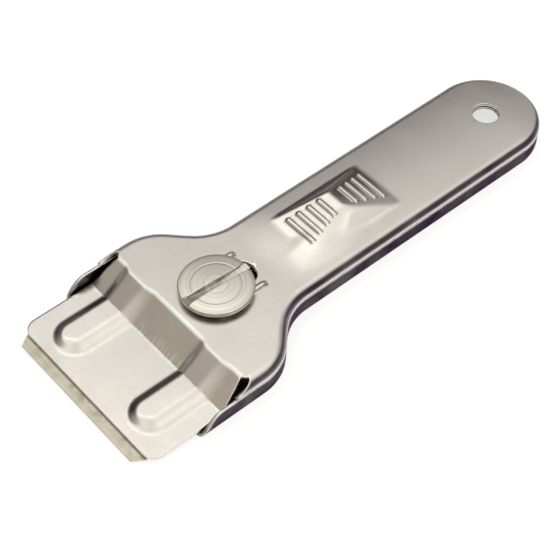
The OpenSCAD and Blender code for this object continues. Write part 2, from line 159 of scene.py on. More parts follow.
def thicken(points, quads, t, lip=0.1):
    """Sheet of thickness t below a surface: the surface, its copy moved t along the inward normals,
    and round every free edge a rim that bulges outwards by lip with rounded corners."""
    normal = vertex_normals(points, quads)
    a, b = quads.reshape(-1), np.roll(quads, -1, axis=1).reshape(-1)
    real = a != b
    a, b = a[real], b[real]
    n = len(points)
    free = ~np.isin(b * n + a, a * n + b)
    a, b = a[free], b[free]
    run = points[b] - points[a]
    out = np.zeros_like(points)
    np.add.at(out, a, run)
    np.add.at(out, b, run)
    out = np.cross(out, normal)
    out /= np.maximum(np.linalg.norm(out, axis=1, keepdims=True), 1e-12)
    rim = np.unique(np.concatenate([a, b]))
    m = len(rim)
    rank = np.full(n, -1)
    rank[rim] = np.arange(m)
    depth = np.array([0, 0.1, 0.28, 0.5, 0.72, 0.9, 1]) * t
    bulge = np.array([0, 0.62, 0.95, 1, 0.95, 0.62, 0]) * lip
    rings = [points[rim] - normal[rim] * d + out[rim] * w for d, w in zip(depth[1:-1], bulge[1:-1])]
    starts, ends = ([v] + [2 * n + k * m + rank[v] for k in range(len(rings))] + [n + v] for v in (a, b))
    faces = [quads, quads[:, ::-1] + n]
    for k in range(len(starts) - 1):
        faces.append(np.stack([starts[k], starts[k + 1], ends[k + 1], ends[k]], -1))
    return np.concatenate([points, points - normal * t] + rings), np.concatenate(faces)


def make_piece(name, points, quads, body, material, replaces, sharp=None):
    """Mesh piece from points in millimetres. A quad with one doubled corner becomes a triangle. Edges that turn
    by more than sharp degrees stay sharp."""
    faces = [[v for k, v in enumerate(q) if v != q[k - 1]] for q in quads.tolist()]
    mesh = bpy.data.meshes.new(name)
    mesh.from_pydata((points * MM).tolist(), [], faces)
    mesh.validate()
    mesh.polygons.foreach_set("use_smooth", np.ones(len(mesh.polygons), bool))
    if sharp:
        mesh.set_sharp_from_angle(angle=np.radians(sharp))
    mesh.update()
    piece = bpy.data.objects.new(name, mesh)
    bpy.context.scene.collection.objects.link(piece)
    mesh.materials.append(material)
    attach(piece, body)
    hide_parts(*replaces)
    return piece


def bends(points, quads, rounds=2):
    """How sharply the surface bends at each point, outward and inward, in 1/mm: the mean over its edges of the
    turn of the normal along the edge divided by the edge's length, evened out over the neighbours."""
    normal = vertex_normals(points, quads)
    a, b = quads.reshape(-1), np.roll(quads, -1, axis=1).reshape(-1)
    a, b = a[a != b], b[a != b]
    run = points[b] - points[a]
    size = np.maximum((run * run).sum(1), 1e-4)
    turn = ((normal[b] - normal[a]) * run).sum(1) / size
    count = np.maximum(np.bincount(a, minlength=len(points)) + np.bincount(b, minlength=len(points)), 1)
    value = (np.bincount(a, turn, len(points)) + np.bincount(b, turn, len(points))) / count
    for _ in range(rounds):
        around = np.bincount(a, value[b], len(points)) + np.bincount(b, value[a], len(points))
        value = 0.4 * value + 0.6 * around / count
    return value


def mask(piece, name, values):
    """Value at each point of the piece, for its material."""
    layer = piece.data.attributes.new(name, "FLOAT", "POINT")
    layer.data.foreach_set("value", np.asarray(values, np.float32))


# ---------------- outline

ARC_DROP = (SHOULDER_OUT_R + SHOULDER_IN_R) * (1 - np.cos(SHOULDER_A))
SHOULDER_L = ((HEAD_W - HANDLE_W) / 2 - ARC_DROP) / np.sin(SHOULDER_A)
NECK_X = SHOULDER_X + (SHOULDER_OUT_R + SHOULDER_IN_R) * np.sin(SHOULDER_A) + SHOULDER_L * np.cos(SHOULDER_A)


def outline_at(x):
    """Half width of the tool at the stations x, and the unit normal there: straight head, arc, slope, arc,
    straight handle."""
    x = np.asarray(x, float)
    x1 = SHOULDER_X + SHOULDER_OUT_R * np.sin(SHOULDER_A)
    x2 = NECK_X - SHOULDER_IN_R * np.sin(SHOULDER_A)
    y = np.full_like(x, HEAD_W / 2)
    nx = np.zeros_like(x)
    k = (x > SHOULDER_X) & (x <= x1)
    s = (x[k] - SHOULDER_X) / SHOULDER_OUT_R
    nx[k] = s
    y[k] = HEAD_W / 2 - SHOULDER_OUT_R * (1 - np.sqrt(1 - s * s))
    k = (x > x1) & (x <= x2)
    nx[k] = np.sin(SHOULDER_A)
    y[k] = HEAD_W / 2 - SHOULDER_OUT_R * (1 - np.cos(SHOULDER_A)) - (x[k] - x1) * np.tan(SHOULDER_A)
    k = (x > x2) & (x < NECK_X)
    s = (NECK_X - x[k]) / SHOULDER_IN_R
    nx[k] = s
    y[k] = HANDLE_W / 2 + SHOULDER_IN_R * (1 - np.sqrt(1 - s * s))
    y[x >= NECK_X] = HANDLE_W / 2
    return y, nx, np.sqrt(1 - nx * nx)


def outline_path(x, fan):
    """Outline from the head to the tail's tip: the stations x, and then the tail's round end at the angles fan
    (in degrees, falling from 90 to 0). Gives points and outward normals in plan."""
    y, nx, ny = outline_at(x)
    a = np.radians(fan)
    px = np.concatenate([x, TAIL_X + HANDLE_W / 2 * np.cos(a)])
    py = np.concatenate([y, HANDLE_W / 2 * np.sin(a)])
    return np.stack([px, py], -1), np.concatenate([np.stack([nx, ny], -1), np.stack([np.cos(a), np.sin(a)], -1)])


# ---------------- upper shell


def hole_side(x):
    """Half width of the openings in the top face at x: the oblong screw slot and the round hang hole."""
    r = SLOT_W / 2
    slot = r * r - np.maximum(np.maximum(SLOT_X0 + r - x, x - (SLOT_X1 - r)), 0) ** 2
    hang = HOLE_R**2 - (x - TAIL_X) ** 2
    return np.sqrt(np.maximum(np.maximum(slot, hang), 0))


def top_height(x, y):
    """Height of the pressed top face over its flat level. The thumb grip is the least of four slopes that fall
    from the crest, with soft hips and a hollow fillet at the foot, both softest at the front near corner. Round
    ridges lie across the front and rear slopes, and two guide ribs stand beside the slot. The handle's face is a
    little crowned: a parabola of the distance from the middle line, and round the hang hole from its axis."""
    dx = x - GRIP_X
    off = np.hypot(np.maximum(x - TAIL_X, 0), y) / (HANDLE_W / 2 - EDGE_R)
    crown = HANDLE_CROWN * np.maximum(1 - off * off, 0) * smooth(x, SLOT_X1 + 1.5, SLOT_X1 + 14)
    crest = np.sqrt(dx * dx + CREST_R**2) - CREST_R * 0.55
    slope = GRIP_H * (1 - crest / np.where(dx < 0, FRONT_L, REAR_L))
    side = GRIP_H * np.minimum((FOOT_FAR - y) / (FOOT_FAR - CREST_FAR), (y - FOOT_NEAR) / (CREST_NEAR - FOOT_NEAR))
    soft = smooth(-dx, -3, 5) * smooth(-y, -1, 3)
    hip = soft_min(slope, side, 0.7 + 1.5 * soft)
    foot = 0.32 + 1.3 * soft
    roof = soft_max(hip, 0, foot) * (hip > -foot)
    ridge = np.zeros_like(roof)
    for at, half in zip(np.concatenate([-FRONT_RIDGES, REAR_RIDGES]), np.tile(RIDGE_HALF, 2)):
        over = np.maximum(np.abs(y - RIDGE_MID) - (half - RIDGE_R), 0)
        tall = 0.62 if at < 0 else 0.9
        ridge = np.maximum(ridge, np.sqrt(np.maximum(RIDGE_R**2 - (dx - at) ** 2 - over**2, 0)) * tall)
    r = GUIDE_W / 2
    along = np.maximum(np.maximum(GUIDE_X0 + r - x, x - (GUIDE_X1 - r)), 0)
    d = r - np.hypot(along, np.abs(y) - GUIDE_Y)
    rib = soft_max(soft_min(d * 2.2 + 0.15, GUIDE_H, 0.5), 0, 0.25) * (d > -0.18)
    return roof + ridge + rib + crown


# Angles round the rolled edge, from the seam (most turned) up to the flat face
ROLL = np.radians(np.linspace(90, 0, 11))


def upper_half(front_rows, side):
    """One side of the rolled top face. Each line starts at the seam, follows the rolled edge (inset and height
    from one arc, carried along the outline's normal), and then runs straight in to the middle line or to the
    edge of an opening. front_rows are the shares of the sloping front cut, and side is 1 on the far side of the
    middle line and -1 on the near side."""
    plain_front = SHOULDER_X - 0.5
    ridges = np.sort(np.concatenate([
        GRIP_X + at + RIDGE_R * np.sin(np.radians(np.linspace(-90, 90, 11)))
        for at in (*-FRONT_RIDGES, *REAR_RIDGES)]))
    grip_foot = np.array([11.2, 11.5, 11.8, 12.1, 12.4, 12.8, 13.4])
    between = GRIP_X + np.concatenate([
        -grip_foot, grip_foot, np.linspace(-2, 2, 13),
        *[-FRONT_RIDGES[:3] - FRONT_PITCH * f for f in (0.34, 0.5, 0.66)],
        *[REAR_RIDGES[:3] + REAR_PITCH * f for f in (0.36, 0.5, 0.64)]])
    r = SLOT_W / 2
    turn = np.radians(np.linspace(0, 90, 10))
    slot_rows = np.concatenate([SLOT_X0 + r - r * np.cos(turn), SLOT_X1 - r + r * np.cos(turn)])
    hang_rows = TAIL_X - HOLE_R * np.cos(np.radians(np.linspace(0, 90, 12)))
    x = np.concatenate([
        np.linspace(plain_front, SLOT_X0, 5)[:-1], slot_rows, np.linspace(SLOT_X0 + r, SLOT_X1 - r, 5)[1:-1],
        SLOT_X1 + np.array([-0.5, 0.06, 0.2, 0.6, 1.2]),
        np.linspace(SLOT_X1 + 2, NECK_X, 14), np.linspace(NECK_X, GRIP_X - 13.8, 6)[1:],
        ridges, between, np.linspace(GRIP_X + 14, TAIL_X - HOLE_R, 20)[:-1], hang_rows])
    x = np.unique(np.round(x, 4))
    fan = np.concatenate([90 - np.degrees(np.arcsin(HOLE_R * np.sin(np.radians(
        np.linspace(0, 90, 10)[1:])) / (HANDLE_W / 2 - EDGE_R))), np.linspace(69, 3, 18), [0]])
    fan = np.unique(np.round(fan, 4))[::-1]
    path, normal = outline_path(x, fan)
    inset = np.concatenate([[0], EDGE_R * (1 - np.sin(ROLL))])
    height = np.concatenate([[RIM_Z + 0.03], FACE_H - EDGE_R * (1 - np.cos(ROLL))])
    roll = np.concatenate([
        path[:, None, :] - normal[:, None, :] * inset[None, :, None],
        np.broadcast_to(height[None, :, None], (len(path), len(height), 1))], -1)
    inner = path - normal * EDGE_R
    qx, qy = inner[:, 0], inner[:, 1]
    y_in = np.minimum(hole_side(qx), qy)
    # Lines across the flat face: at the head they crowd round the guide ribs, on the handle they are even
    rib_out, rib_in = 6.3, 4.2
    outer, dense, middle = np.linspace(1, 0, 41), np.linspace(rib_out, rib_in, 13), np.linspace(1, 0, 7)
    at_head = np.concatenate([
        rib_out + (qy[:, None] - rib_out) * outer[None, :-1], np.broadcast_to(dense[None, :-1], (len(qy), 12)),
        y_in[:, None] + (rib_in - y_in[:, None]) * middle[None, :]], 1)
    share = np.linspace(1, 0, at_head.shape[1])
    at_handle = y_in[:, None] + (qy - y_in)[:, None] * share[None, :]
    h = smooth(qx, SLOT_X1 + 0.5, SLOT_X1 + 10)[:, None]
    y = (1 - h) * at_head + h * at_handle
    x2 = np.broadcast_to(qx[:, None], y.shape)
    flat = np.stack([x2, y, FACE_H + top_height(x2, side * y)], -1)
    lines = np.concatenate([roll[:, :-1], flat], 1)
    # The sloping front: every line is straight from its cut back to the first station
    z = lines[0, :, 2]
    cut = FLANGE_X + (z - RIM_Z) / (FACE_H - RIM_Z) * (JOIN_X - FLANGE_X)
    front = np.broadcast_to(lines[0], (len(front_rows),) + lines[0].shape).copy()
    front[..., 0] = cut[None] + (plain_front - cut[None]) * front_rows[:, None]
    return np.concatenate([front, lines])


def front_sheet(y_row, side):
    """Jaw and step: a side profile of flat, bend, slope, bend and flat, carried across the width. Its lines
    spread from the round-cornered jaw to the row y_row, where it meets the top face. A bead lifts it: inside
    a soft-edged oblong, each point moves from the plain profile to the bead's own. The bead's far side is
    steeper than its near side."""

    def profile(z0, foot_x, foot_r, top_x, top_z, top_r):
        """Flat to foot_x, then the slope from (foot_x, z0) to (top_x, top_z), with both corners rounded."""
        a = np.arctan2(top_z - z0, top_x - foot_x)
        tf, tt = foot_r * np.tan(a / 2), top_r * np.tan(a / 2)
        f = np.radians(np.linspace(0, np.degrees(a), 7))
        d = spread((0,), (0.4, 8), (2.6, 6), (6.9, 22), (14, 14), (foot_x - tf - JAW_X, 10))
        flat = np.stack([JAW_X + d, np.full_like(d, z0)], -1)
        foot = np.stack([foot_x - tf + foot_r * np.sin(f), z0 + foot_r * (1 - np.cos(f))], -1)
        top = np.stack([top_x + tt - top_r * np.sin(f[::-1]), top_z - top_r * (1 - np.cos(f[::-1]))], -1)
        s = np.linspace(0, 1, 18)[1:-1, None]
        slope = foot[-1] + (top[0] - foot[-1]) * s
        end = np.linspace(top[-1], [JOIN_X, top_z], 3)[1:]
        return np.concatenate([flat, foot[1:], slope, top, end])

    base = profile(JAW_TOP, STEP_X, FOOT_BEND_R, TOP_X, FACE_H, TOP_BEND_R)
    bead = profile(JAW_TOP + BEAD_H, STEP_X - BEAD_H * np.tan(STEP_A / 2), 0.5,
                   TOP_X - 0.3 / np.sin(STEP_A), FACE_H, 1.4)
    x = base[:, 0]
    corner = np.sqrt(np.maximum(JAW_R**2 - np.maximum(JAW_X + JAW_R - x, 0) ** 2, 0))
    half = JAW_W / 2 - JAW_R + corner
    half = half + (STEP_TOP_W / 2 - JAW_W / 2) * np.clip((x - STEP_X) / (TOP_X - STEP_X), 0, 1)
    half = half + (y_row[0] - STEP_TOP_W / 2) * smooth(x, TOP_X, JOIN_X)
    y = half[:, None] * (y_row / y_row[0])[None, :]
    off = side * y - side * BEAD_Y
    span = np.hypot(np.minimum(x[:, None] - BEAD_C, 0), off)
    rise = (BEAD_W / 2 - span) / (2.3 - 0.8 * smooth(off / np.maximum(span, 0.1), -0.6, 0.5))
    w = soft_min(soft_max(rise, 0, 0.3), 1, 0.35)
    xz = base[:, None, :] * (1 - w[..., None]) + bead[:, None, :] * w[..., None]
    return np.stack([xz[..., 0], y, xz[..., 1]], -1)


def flip(points):
    return points * np.array([1, -1, 1])


def build_upper_surface():
    """Top face and front sheet of both sides, welded along the middle line and turned to face up."""
    parts = []
    for side in (1, -1):
        half = upper_half(np.linspace(0, 1, 7)[:-1], side)
        sheet = front_sheet(half[0, len(ROLL):, 1], side)
        q, qs = grid_faces(*half.shape[:2]), grid_faces(*sheet.shape[:2])
        mirror = np.array([1, side, 1])
        parts += [(half * mirror, q[:, ::-side]), (sheet * mirror, qs[:, ::-side])]
    points, quads = weld(*join(*parts))
    if np.sum(face_normals(points, quads)[:, 2]) < 0:
        quads = quads[:, ::-1]
    return points, quads


# ---------------- lower shell

# Heights down the wall, and angles round the foot's bend from the wall (0) to the floor (90)
WALL_Z = [RIM_H, 4.8, 4.3, 3.5, 2.7]
FOOT = np.radians(np.linspace(0, 90, 9))


def floor_height(x, y):
    """Height of the pressed floor: the oblong hollow under the clamp nut and the cone round the hang hole, each
    the distance from its foot line times its slope, with soft corners at the foot and the top."""
    along = np.maximum(np.maximum(PAD_X0 - x, x - PAD_X1), 0)
    pad = (PAD_R - np.hypot(along, y)) * PAD_H / PAD_SIDE
    pad = soft_min(soft_max(pad, 0, 0.6), PAD_H, 0.6) * (pad > -0.6)
    cone = (BOSS_FOOT_R - np.hypot(x - TAIL_X, y)) * BOSS_H / (BOSS_FOOT_R - BOSS_TOP_R)
    cone = soft_min(soft_max(cone, 0, 1.0), BOSS_H, 1.4) * (cone > -1.0)
    return np.maximum(pad, cone)


def floor_opening(x):
    """Half width of the openings in the floor at x: the slot round the nut's neck and the hang hole."""
    from_mid = np.abs(x - (SCREW_X + TRAVEL / 2))
    slot = NECK_R**2 - np.maximum(from_mid - (TRAVEL / 2 + NECK_END - NECK_R), 0) ** 2
    hang = HOLE_R**2 - (x - TAIL_X) ** 2
    return np.sqrt(np.maximum(np.maximum(slot, hang), 0))


def lower_half(front_rows):
    """One side of the lower shell's outer face. Each line starts at the rim, runs down the wall and round the
    foot's bend (inset and height from one arc, carried along the outline's normal), then straight in to the
    middle line or an opening. In front the lines start on the cheek's round cut: x = c - sqrt(R^2 - (z + d)^2)."""
    first = CHEEK_C + 0.4
    turn = np.radians(np.linspace(0, 90, 8))
    slot0, slot1 = SCREW_X - NECK_END, SCREW_X + TRAVEL + NECK_END
    hang = HOLE_R * np.cos(np.radians(np.linspace(0, 90, 10)))
    x = np.concatenate([
        np.linspace(first, PAD_X0 - 8.8, 5), np.linspace(PAD_X0 - 8.8, slot0, 14),
        slot0 + NECK_R * (1 - np.cos(turn)), np.linspace(slot0 + NECK_R, slot1 - NECK_R, 6),
        slot1 - NECK_R * (1 - np.cos(turn)), np.linspace(slot1, PAD_X1 + 8.8, 14), np.linspace(PAD_X1 + 9, NECK_X, 8),
        np.linspace(NECK_X, TAIL_X - 10, 12), np.linspace(TAIL_X - 10, TAIL_X - HOLE_R, 20), TAIL_X - hang])
    x = np.unique(np.round(x, 4))
    reach = HANDLE_W / 2 - FOOT_R
    fan = np.concatenate([np.degrees(np.arccos(np.concatenate([hang[::-1], [HOLE_R]]) / reach)),
                          np.linspace(71, 3, 20), [0]])
    fan = np.unique(np.round(fan, 4))[::-1]
    path, normal = outline_path(x, fan)
    inset = np.concatenate([np.zeros(len(WALL_Z)), FOOT_R * (1 - np.cos(FOOT))])
    height = np.concatenate([WALL_Z, FOOT_R * (1 - np.sin(FOOT))])
    wall = np.concatenate([
        path[:, None, :] - normal[:, None, :] * inset[None, :, None],
        np.broadcast_to(height[None, :, None], (len(path), len(height), 1))], -1)
    inner = path - normal * FOOT_R
    qx, qy = inner[:, 0], inner[:, 1]
    y_in = np.minimum(floor_opening(qx), qy)
    share = np.linspace(1, 0, 56)
    y = y_in[:, None] + (qy - y_in)[:, None] * share[None, :]
    x2 = np.broadcast_to(qx[:, None], y.shape)
    lines = np.concatenate([wall[:, :-1], np.stack([x2, y, floor_height(x2, y)], -1)], 1)
    z = lines[0, :, 2]
    cut = CHEEK_C - np.sqrt(CHEEK_R**2 - (z + CHEEK_DROP) ** 2)
    front = np.broadcast_to(lines[0], (len(front_rows),) + lines[0].shape).copy()
    front[..., 0] = cut[None] + (first - cut[None]) * front_rows[:, None]
    return np.concatenate([front, lines])


def lower_jaw(y_row):
    """Flat lower jaw: its half width follows two round corners and widens to the cheeks' feet at its back."""
    widen = CHEEK_X - 1.4
    x = np.concatenate([LOWER_JAW_X + JAW_R * (1 - np.cos(np.radians(np.linspace(0, 90, 10)))),
                        np.linspace(LOWER_JAW_X + JAW_R, widen, 8)[1:], np.linspace(widen, CHEEK_X, 7)[1:]])
    half = LOWER_JAW_W / 2 - JAW_R + np.sqrt(np.maximum(JAW_R**2 - np.maximum(LOWER_JAW_X + JAW_R - x, 0) ** 2, 0))
    half = half + (y_row[0] - LOWER_JAW_W / 2) * smooth(x, widen, CHEEK_X)
    y = half[:, None] * (y_row / y_row[0])[None, :]
    return np.stack([np.broadcast_to(x[:, None], y.shape), y, np.zeros_like(y)], -1)


def build_lower_surface():
    """Shell and jaw of both sides, welded along the middle line and turned to face down."""
    half = lower_half(np.linspace(0, 1, 6)[:-1])
    jaw = lower_jaw(half[0, len(WALL_Z) + len(FOOT) - 1:, 1])
    q, qj = grid_faces(*half.shape[:2]), grid_faces(*jaw.shape[:2])
    points, quads = weld(*join((half, q[:, ::-1]), (flip(half), q), (jaw, qj[:, ::-1]), (flip(jaw), qj)))
    if np.sum(face_normals(points, quads)[:, 2]) > 0:
        quads = quads[:, ::-1]
    return points, quads


# ---------------- clamp screw

HEAD_RINGS = np.concatenate([
    np.linspace(0, 5.1, 14), [5.2, 5.26, 5.32, 5.4, 5.48, 5.54, 5.6], np.linspace(5.9, HEAD_R - HEAD_BEVEL, 6),
    HEAD_R - HEAD_BEVEL + HEAD_BEVEL * np.sin(np.radians(np.linspace(18, 90, 5)))])


def head_height(r):
    """Top of the head at radius r: a low crown, a turned groove of half a sine wave, and a quarter round
    at the rim."""
    groove = 0.03 * np.cos(np.clip((r - RING_R) / 0.16, -1, 1) * np.pi / 2)
    d = np.clip(r - (HEAD_R - HEAD_BEVEL), 0, HEAD_BEVEL)
    return HEAD_TOP - 0.0042 * r * r - groove - (HEAD_BEVEL - np.sqrt(HEAD_BEVEL**2 - d * d))


def build_screw():
    """Head with a sawn coin slot, underside and threaded shank, about its own axis. The top is two halves of a
    disc beside the slot: rings of radius r that stop on the slot's edge. The slot is a strip of cross sections,
    soft edge, wall and floor, whose floor lies on the saw's circle. The side drops from both to the underside."""
    soft = 0.09
    edge = COIN_HALF + soft
    cap = np.arcsin(edge / HEAD_R)
    around = np.linspace(cap, np.pi - cap, 97)
    r = np.maximum(HEAD_RINGS[None, :], (edge / np.sin(around))[:, None])
    top = np.stack([r * np.cos(around)[:, None], r * np.sin(around)[:, None], head_height(r)], -1)
    top_q = grid_faces(*top.shape[:2])
    # Slot: stations along it are the half disc's own points on the chord
    chord = top[:, 0]
    curve = np.radians(np.linspace(0, 90, 5))
    wall, flat = np.ones(6), np.zeros(5)
    across = np.concatenate([
        edge - soft * np.sin(curve), wall * COIN_HALF, np.linspace(COIN_HALF, -COIN_HALF, 7)[1:-1],
        wall * -COIN_HALF, -edge + soft * np.sin(curve[::-1])])
    scale = chord[:, 0][:, None] / np.abs(chord[0, 0]) * np.sqrt(HEAD_R**2 - across**2)[None, :]
    floor = COIN_Z + SAW_R - np.sqrt(SAW_R**2 - scale**2)
    lip = head_height(np.hypot(chord[:, 0], edge))[:, None]
    fall = np.concatenate([
        soft * (1 - np.cos(curve)), wall * soft, flat, wall * soft, soft * (1 - np.cos(curve[::-1]))])
    share = np.concatenate([np.ones(5), np.linspace(1, 0, 7)[1:], flat, np.linspace(0, 1, 7)[:-1], np.ones(5)])
    height = floor + (lip - fall[None, :] - floor) * share[None, :]
    slot = np.stack([scale, np.broadcast_to(across, scale.shape), height], -1)
    slot_q = grid_faces(*slot.shape[:2])
    # Side: a loop over the rim of both halves and both ends of the slot, brought down to the underside
    half_turn = np.array([-1, -1, 1])
    rim = np.concatenate([top[:, -1], slot[-1, 1:-1], top[:, -1] * half_turn, slot[0, ::-1][1:-1], top[:1, -1]])
    low = rim * np.array([1, 1, 0]) + np.array([0, 0, HEAD_Z])
    steps = np.array([0, 0.2, 0.4, 0.6, 0.8, 0.93, 0.98, 1.0])[:, None, None]
    side = rim[None] * (1 - steps) + low[None] * steps
    side[..., :2] *= 1 - np.array([0, 0, 0, 0, 0, 0.012, 0.04, 0.08])[:, None, None] / HEAD_R
    # Underside and shank: rings, with a thread whose depth is a triangle wave of turn plus height
    turn = np.unwrap(np.arctan2(rim[:, 1], rim[:, 0]))
    z = np.linspace(HEAD_Z - 1.3, SHANK_END + 0.35, 70)
    ring = np.concatenate([[HEAD_R - 0.08, 6, 4, SHANK_R, SHANK_R], np.full(70, SHANK_R), [2.65, 1.4, 0.9, 0]])
    down = np.concatenate([[HEAD_Z] * 4, [HEAD_Z - 1.2], z, [SHANK_END, SHANK_END, SHANK_END + 0.3, SHANK_END + 0.5]])
    thread = 0.42 * np.abs(((down[:, None] - turn[None, :] / (2 * np.pi)) % 1) * 2 - 1)
    thread = thread * (np.clip((HEAD_Z - 1.25 - down) / 0.8, 0, 1) * (ring == SHANK_R))[:, None]
    radius = ring[:, None] - thread
    shank = np.stack([radius * np.cos(turn), radius * np.sin(turn), np.broadcast_to(down[:, None], radius.shape)], -1)
    parts = [(top, top_q[:, ::-1]), (top * half_turn, top_q[:, ::-1]), (slot, slot_q),
             (side, grid_faces(*side.shape[:2])), (shank, grid_faces(*shank.shape[:2]))]
    points, quads = weld(*join(*parts))
    a = np.radians(-2.7)
    turned = points @ np.array([[np.cos(a), np.sin(a), 0], [-np.sin(a), np.cos(a), 0], [0, 0, 1]])
    return turned + np.array([SCREW_X, 0, 0]), quads


# ---------------- shader parts


def place(tree, kind, values=None, **settings):
    """Node with its settings and inputs: an input is a number, a colour or another node's output."""
    node = tree.nodes.new(kind)
    for key, value in settings.items():
        setattr(node, key, value)
    for key, value in (values or {}).items():
        if isinstance(value, bpy.types.NodeSocket):
            tree.links.new(value, node.inputs[key])
        else:
            node.inputs[key].default_value = value
    return node


def math(tree, operation, a, b=0.0):
    return place(tree, "ShaderNodeMath", {0: a, 1: b}, operation=operation).outputs[0]


def mixed(tree, share, a, b):
    return place(tree, "ShaderNodeMix", {0: share, 6: a, 7: b}, data_type="RGBA").outputs[2]


def ranged(tree, value, low, high, to_low=0.0, to_high=1.0):
    return place(tree, "ShaderNodeMapRange", {0: value, 1: low, 2: high, 3: to_low, 4: to_high}).outputs[0]


def noise(tree, vector, scale, detail=2.0):
    return place(tree, "ShaderNodeTexNoise", {"Vector": vector, "Scale": scale, "Detail": detail}).outputs[0]


def scaled(tree, vector, by):
    return place(tree, "ShaderNodeVectorMath", {0: vector, 1: by}, operation="MULTIPLY").outputs[0]


def shader_group(name, inputs, outputs):
    """Empty group whose inputs are (name, kind, default). Gives the tree, its inputs by name and its end node."""
    tree = bpy.data.node_groups.new(name, "ShaderNodeTree")
    for label, kind, default in inputs:
        socket = tree.interface.new_socket(name=label, in_out="INPUT", socket_type="NodeSocket" + kind)
        if default is not None:
            socket.default_value = default
    for label in outputs:
        tree.interface.new_socket(name=label, in_out="OUTPUT", socket_type="NodeSocketFloat")
    return tree, tree.nodes.new("NodeGroupInput").outputs, tree.nodes.new("NodeGroupOutput")


def close_group(tree, end, results):
    for label, value in results.items():
        tree.links.new(value, end.inputs[label])
    return tree


def satin_grain():
    """Fine grain of a satin plated sheet, a little drawn out along the tool, over cloudy patches."""
    tree, given, end = shader_group("satin_grain", [("Vector", "Vector", None), ("Fineness", "Float", 1.0)],
                                    ["Height", "Tone", "Cloud"])
    v = place(tree, "ShaderNodeVectorMath", {0: given["Vector"], "Scale": given["Fineness"]},
              operation="SCALE").outputs[0]
    fine = noise(tree, scaled(tree, v, (0.55, 1.0, 1.0)), 3600.0, 3.0)
    speck = noise(tree, v, 1500.0, 4.0)
    cloud = noise(tree, v, 120.0, 4.0)
    height = math(tree, "ADD", fine, math(tree, "MULTIPLY", speck, 0.6))
    tone = math(tree, "ADD", math(tree, "MULTIPLY", fine, 0.5), math(tree, "MULTIPLY", speck, 0.5))
    return close_group(tree, end, {"Height": height, "Tone": tone, "Cloud": ranged(tree, cloud, 0.32, 0.68)})


def turned_marks():
    """Rings left by a lathe tool about the local axis, uneven in depth, with a faint shake."""
    tree, given, end = shader_group("turned_marks", [("Vector", "Vector", None), ("Pitch", "Float", 0.0003)],
                                    ["Height", "Tone"])
    flat = scaled(tree, given["Vector"], (1.0, 1.0, 0.0))
    radius = place(tree, "ShaderNodeVectorMath", {0: flat}, operation="LENGTH").outputs["Value"]
    wobble = math(tree, "MULTIPLY", noise(tree, given["Vector"], 350.0), 0.00012)
    shaken = math(tree, "DIVIDE", math(tree, "ADD", radius, wobble), given["Pitch"])
    along = place(tree, "ShaderNodeCombineXYZ", {0: shaken}).outputs[0]
    fine = noise(tree, along, 1.0, 1.0)
    broad = noise(tree, along, 0.22, 1.0)
    height = math(tree, "ADD", fine, math(tree, "MULTIPLY", broad, 0.8))
    return close_group(tree, end, {"Height": height, "Tone": ranged(tree, height, 0.6, 1.2)})


def edge_wear():
    """Share of bare bright metal on a sharp edge, broken up by a fine noise."""
    tree, given, end = shader_group("edge_wear", [("Edge", "Float", 0.0), ("Vector", "Vector", None),
                                                  ("Amount", "Float", 1.0)], ["Mask"])
    chips = ranged(tree, noise(tree, given["Vector"], 700.0, 3.0), 0.3, 0.6, 0.45, 1.0)
    worn = math(tree, "MULTIPLY", math(tree, "MULTIPLY", given["Edge"], chips), given["Amount"])
    return close_group(tree, end, {"Mask": ranged(tree, worn, 0.0, 1.0)})


def crease_grime_and_shade():
    """Share of grime and painted shade in a hollow corner, thicker where a coarse noise is high."""
    tree, given, end = shader_group("crease_grime_and_shade", [("Crease", "Float", 0.0), ("Vector", "Vector", None),
                                                    ("Amount", "Float", 1.0)], ["Mask"])
    clots = ranged(tree, noise(tree, given["Vector"], 480.0, 4.0), 0.32, 0.66, 0.35, 1.0)
    grime_shade_amount = math(tree, "MULTIPLY", math(tree, "MULTIPLY", given["Crease"], clots), given["Amount"])
    return close_group(tree, end, {"Mask": ranged(tree, grime_shade_amount, 0.0, 1.0)})


def handling_film():
    """Thin greasy film from handling: wide soft patches with streaks across the tool."""
    tree, given, end = shader_group("handling_film", [("Vector", "Vector", None), ("Amount", "Float", 1.0)], ["Mask"])
    wide = noise(tree, given["Vector"], 55.0, 3.0)
    streak = noise(tree, scaled(tree, given["Vector"], (1.0, 0.25, 1.0)), 260.0, 3.0)
    both = math(tree, "ADD", math(tree, "MULTIPLY", wide, 0.7), math(tree, "MULTIPLY", streak, 0.3))
    return close_group(tree, end, {"Mask": math(tree, "MULTIPLY", ranged(tree, both, 0.4, 0.62), given["Amount"])})


GRAIN, TURNED, WEAR, GRIME_AND_SHADE, FILM = satin_grain(), turned_marks(), edge_wear(), crease_grime_and_shade(), handling_film()


def new_metal(name):
    """Material with a metallic Principled shader. Gives the tree, the shader and the object coordinates."""
    material = bpy.data.materials.new(name)
    material.use_nodes = True
    tree = material.node_tree
    shader = tree.nodes["Principled BSDF"]
    shader.inputs["Metallic"].default_value = 1.0
    return material, tree, shader, tree.nodes.new("ShaderNodeTexCoord").outputs["Object"]


def part(tree, shared, values):
    return place(tree, "ShaderNodeGroup", values, node_tree=shared).outputs


def level(tree, name):
    return place(tree, "ShaderNodeAttribute", attribute_name=name).outputs["Fac"]


def finish_metal(tree, shader, color, rough, height, strength, distance):
    """Colour, roughness and bump of a metal, from the nodes that work them out."""
    tree.links.new(color, shader.inputs["Base Color"])
    tree.links.new(rough, shader.inputs["Roughness"])
    relief = place(tree, "ShaderNodeBump", {"Strength": strength, "Distance": distance, "Height": height})
    tree.links.new(relief.outputs[0], shader.inputs["Normal"])


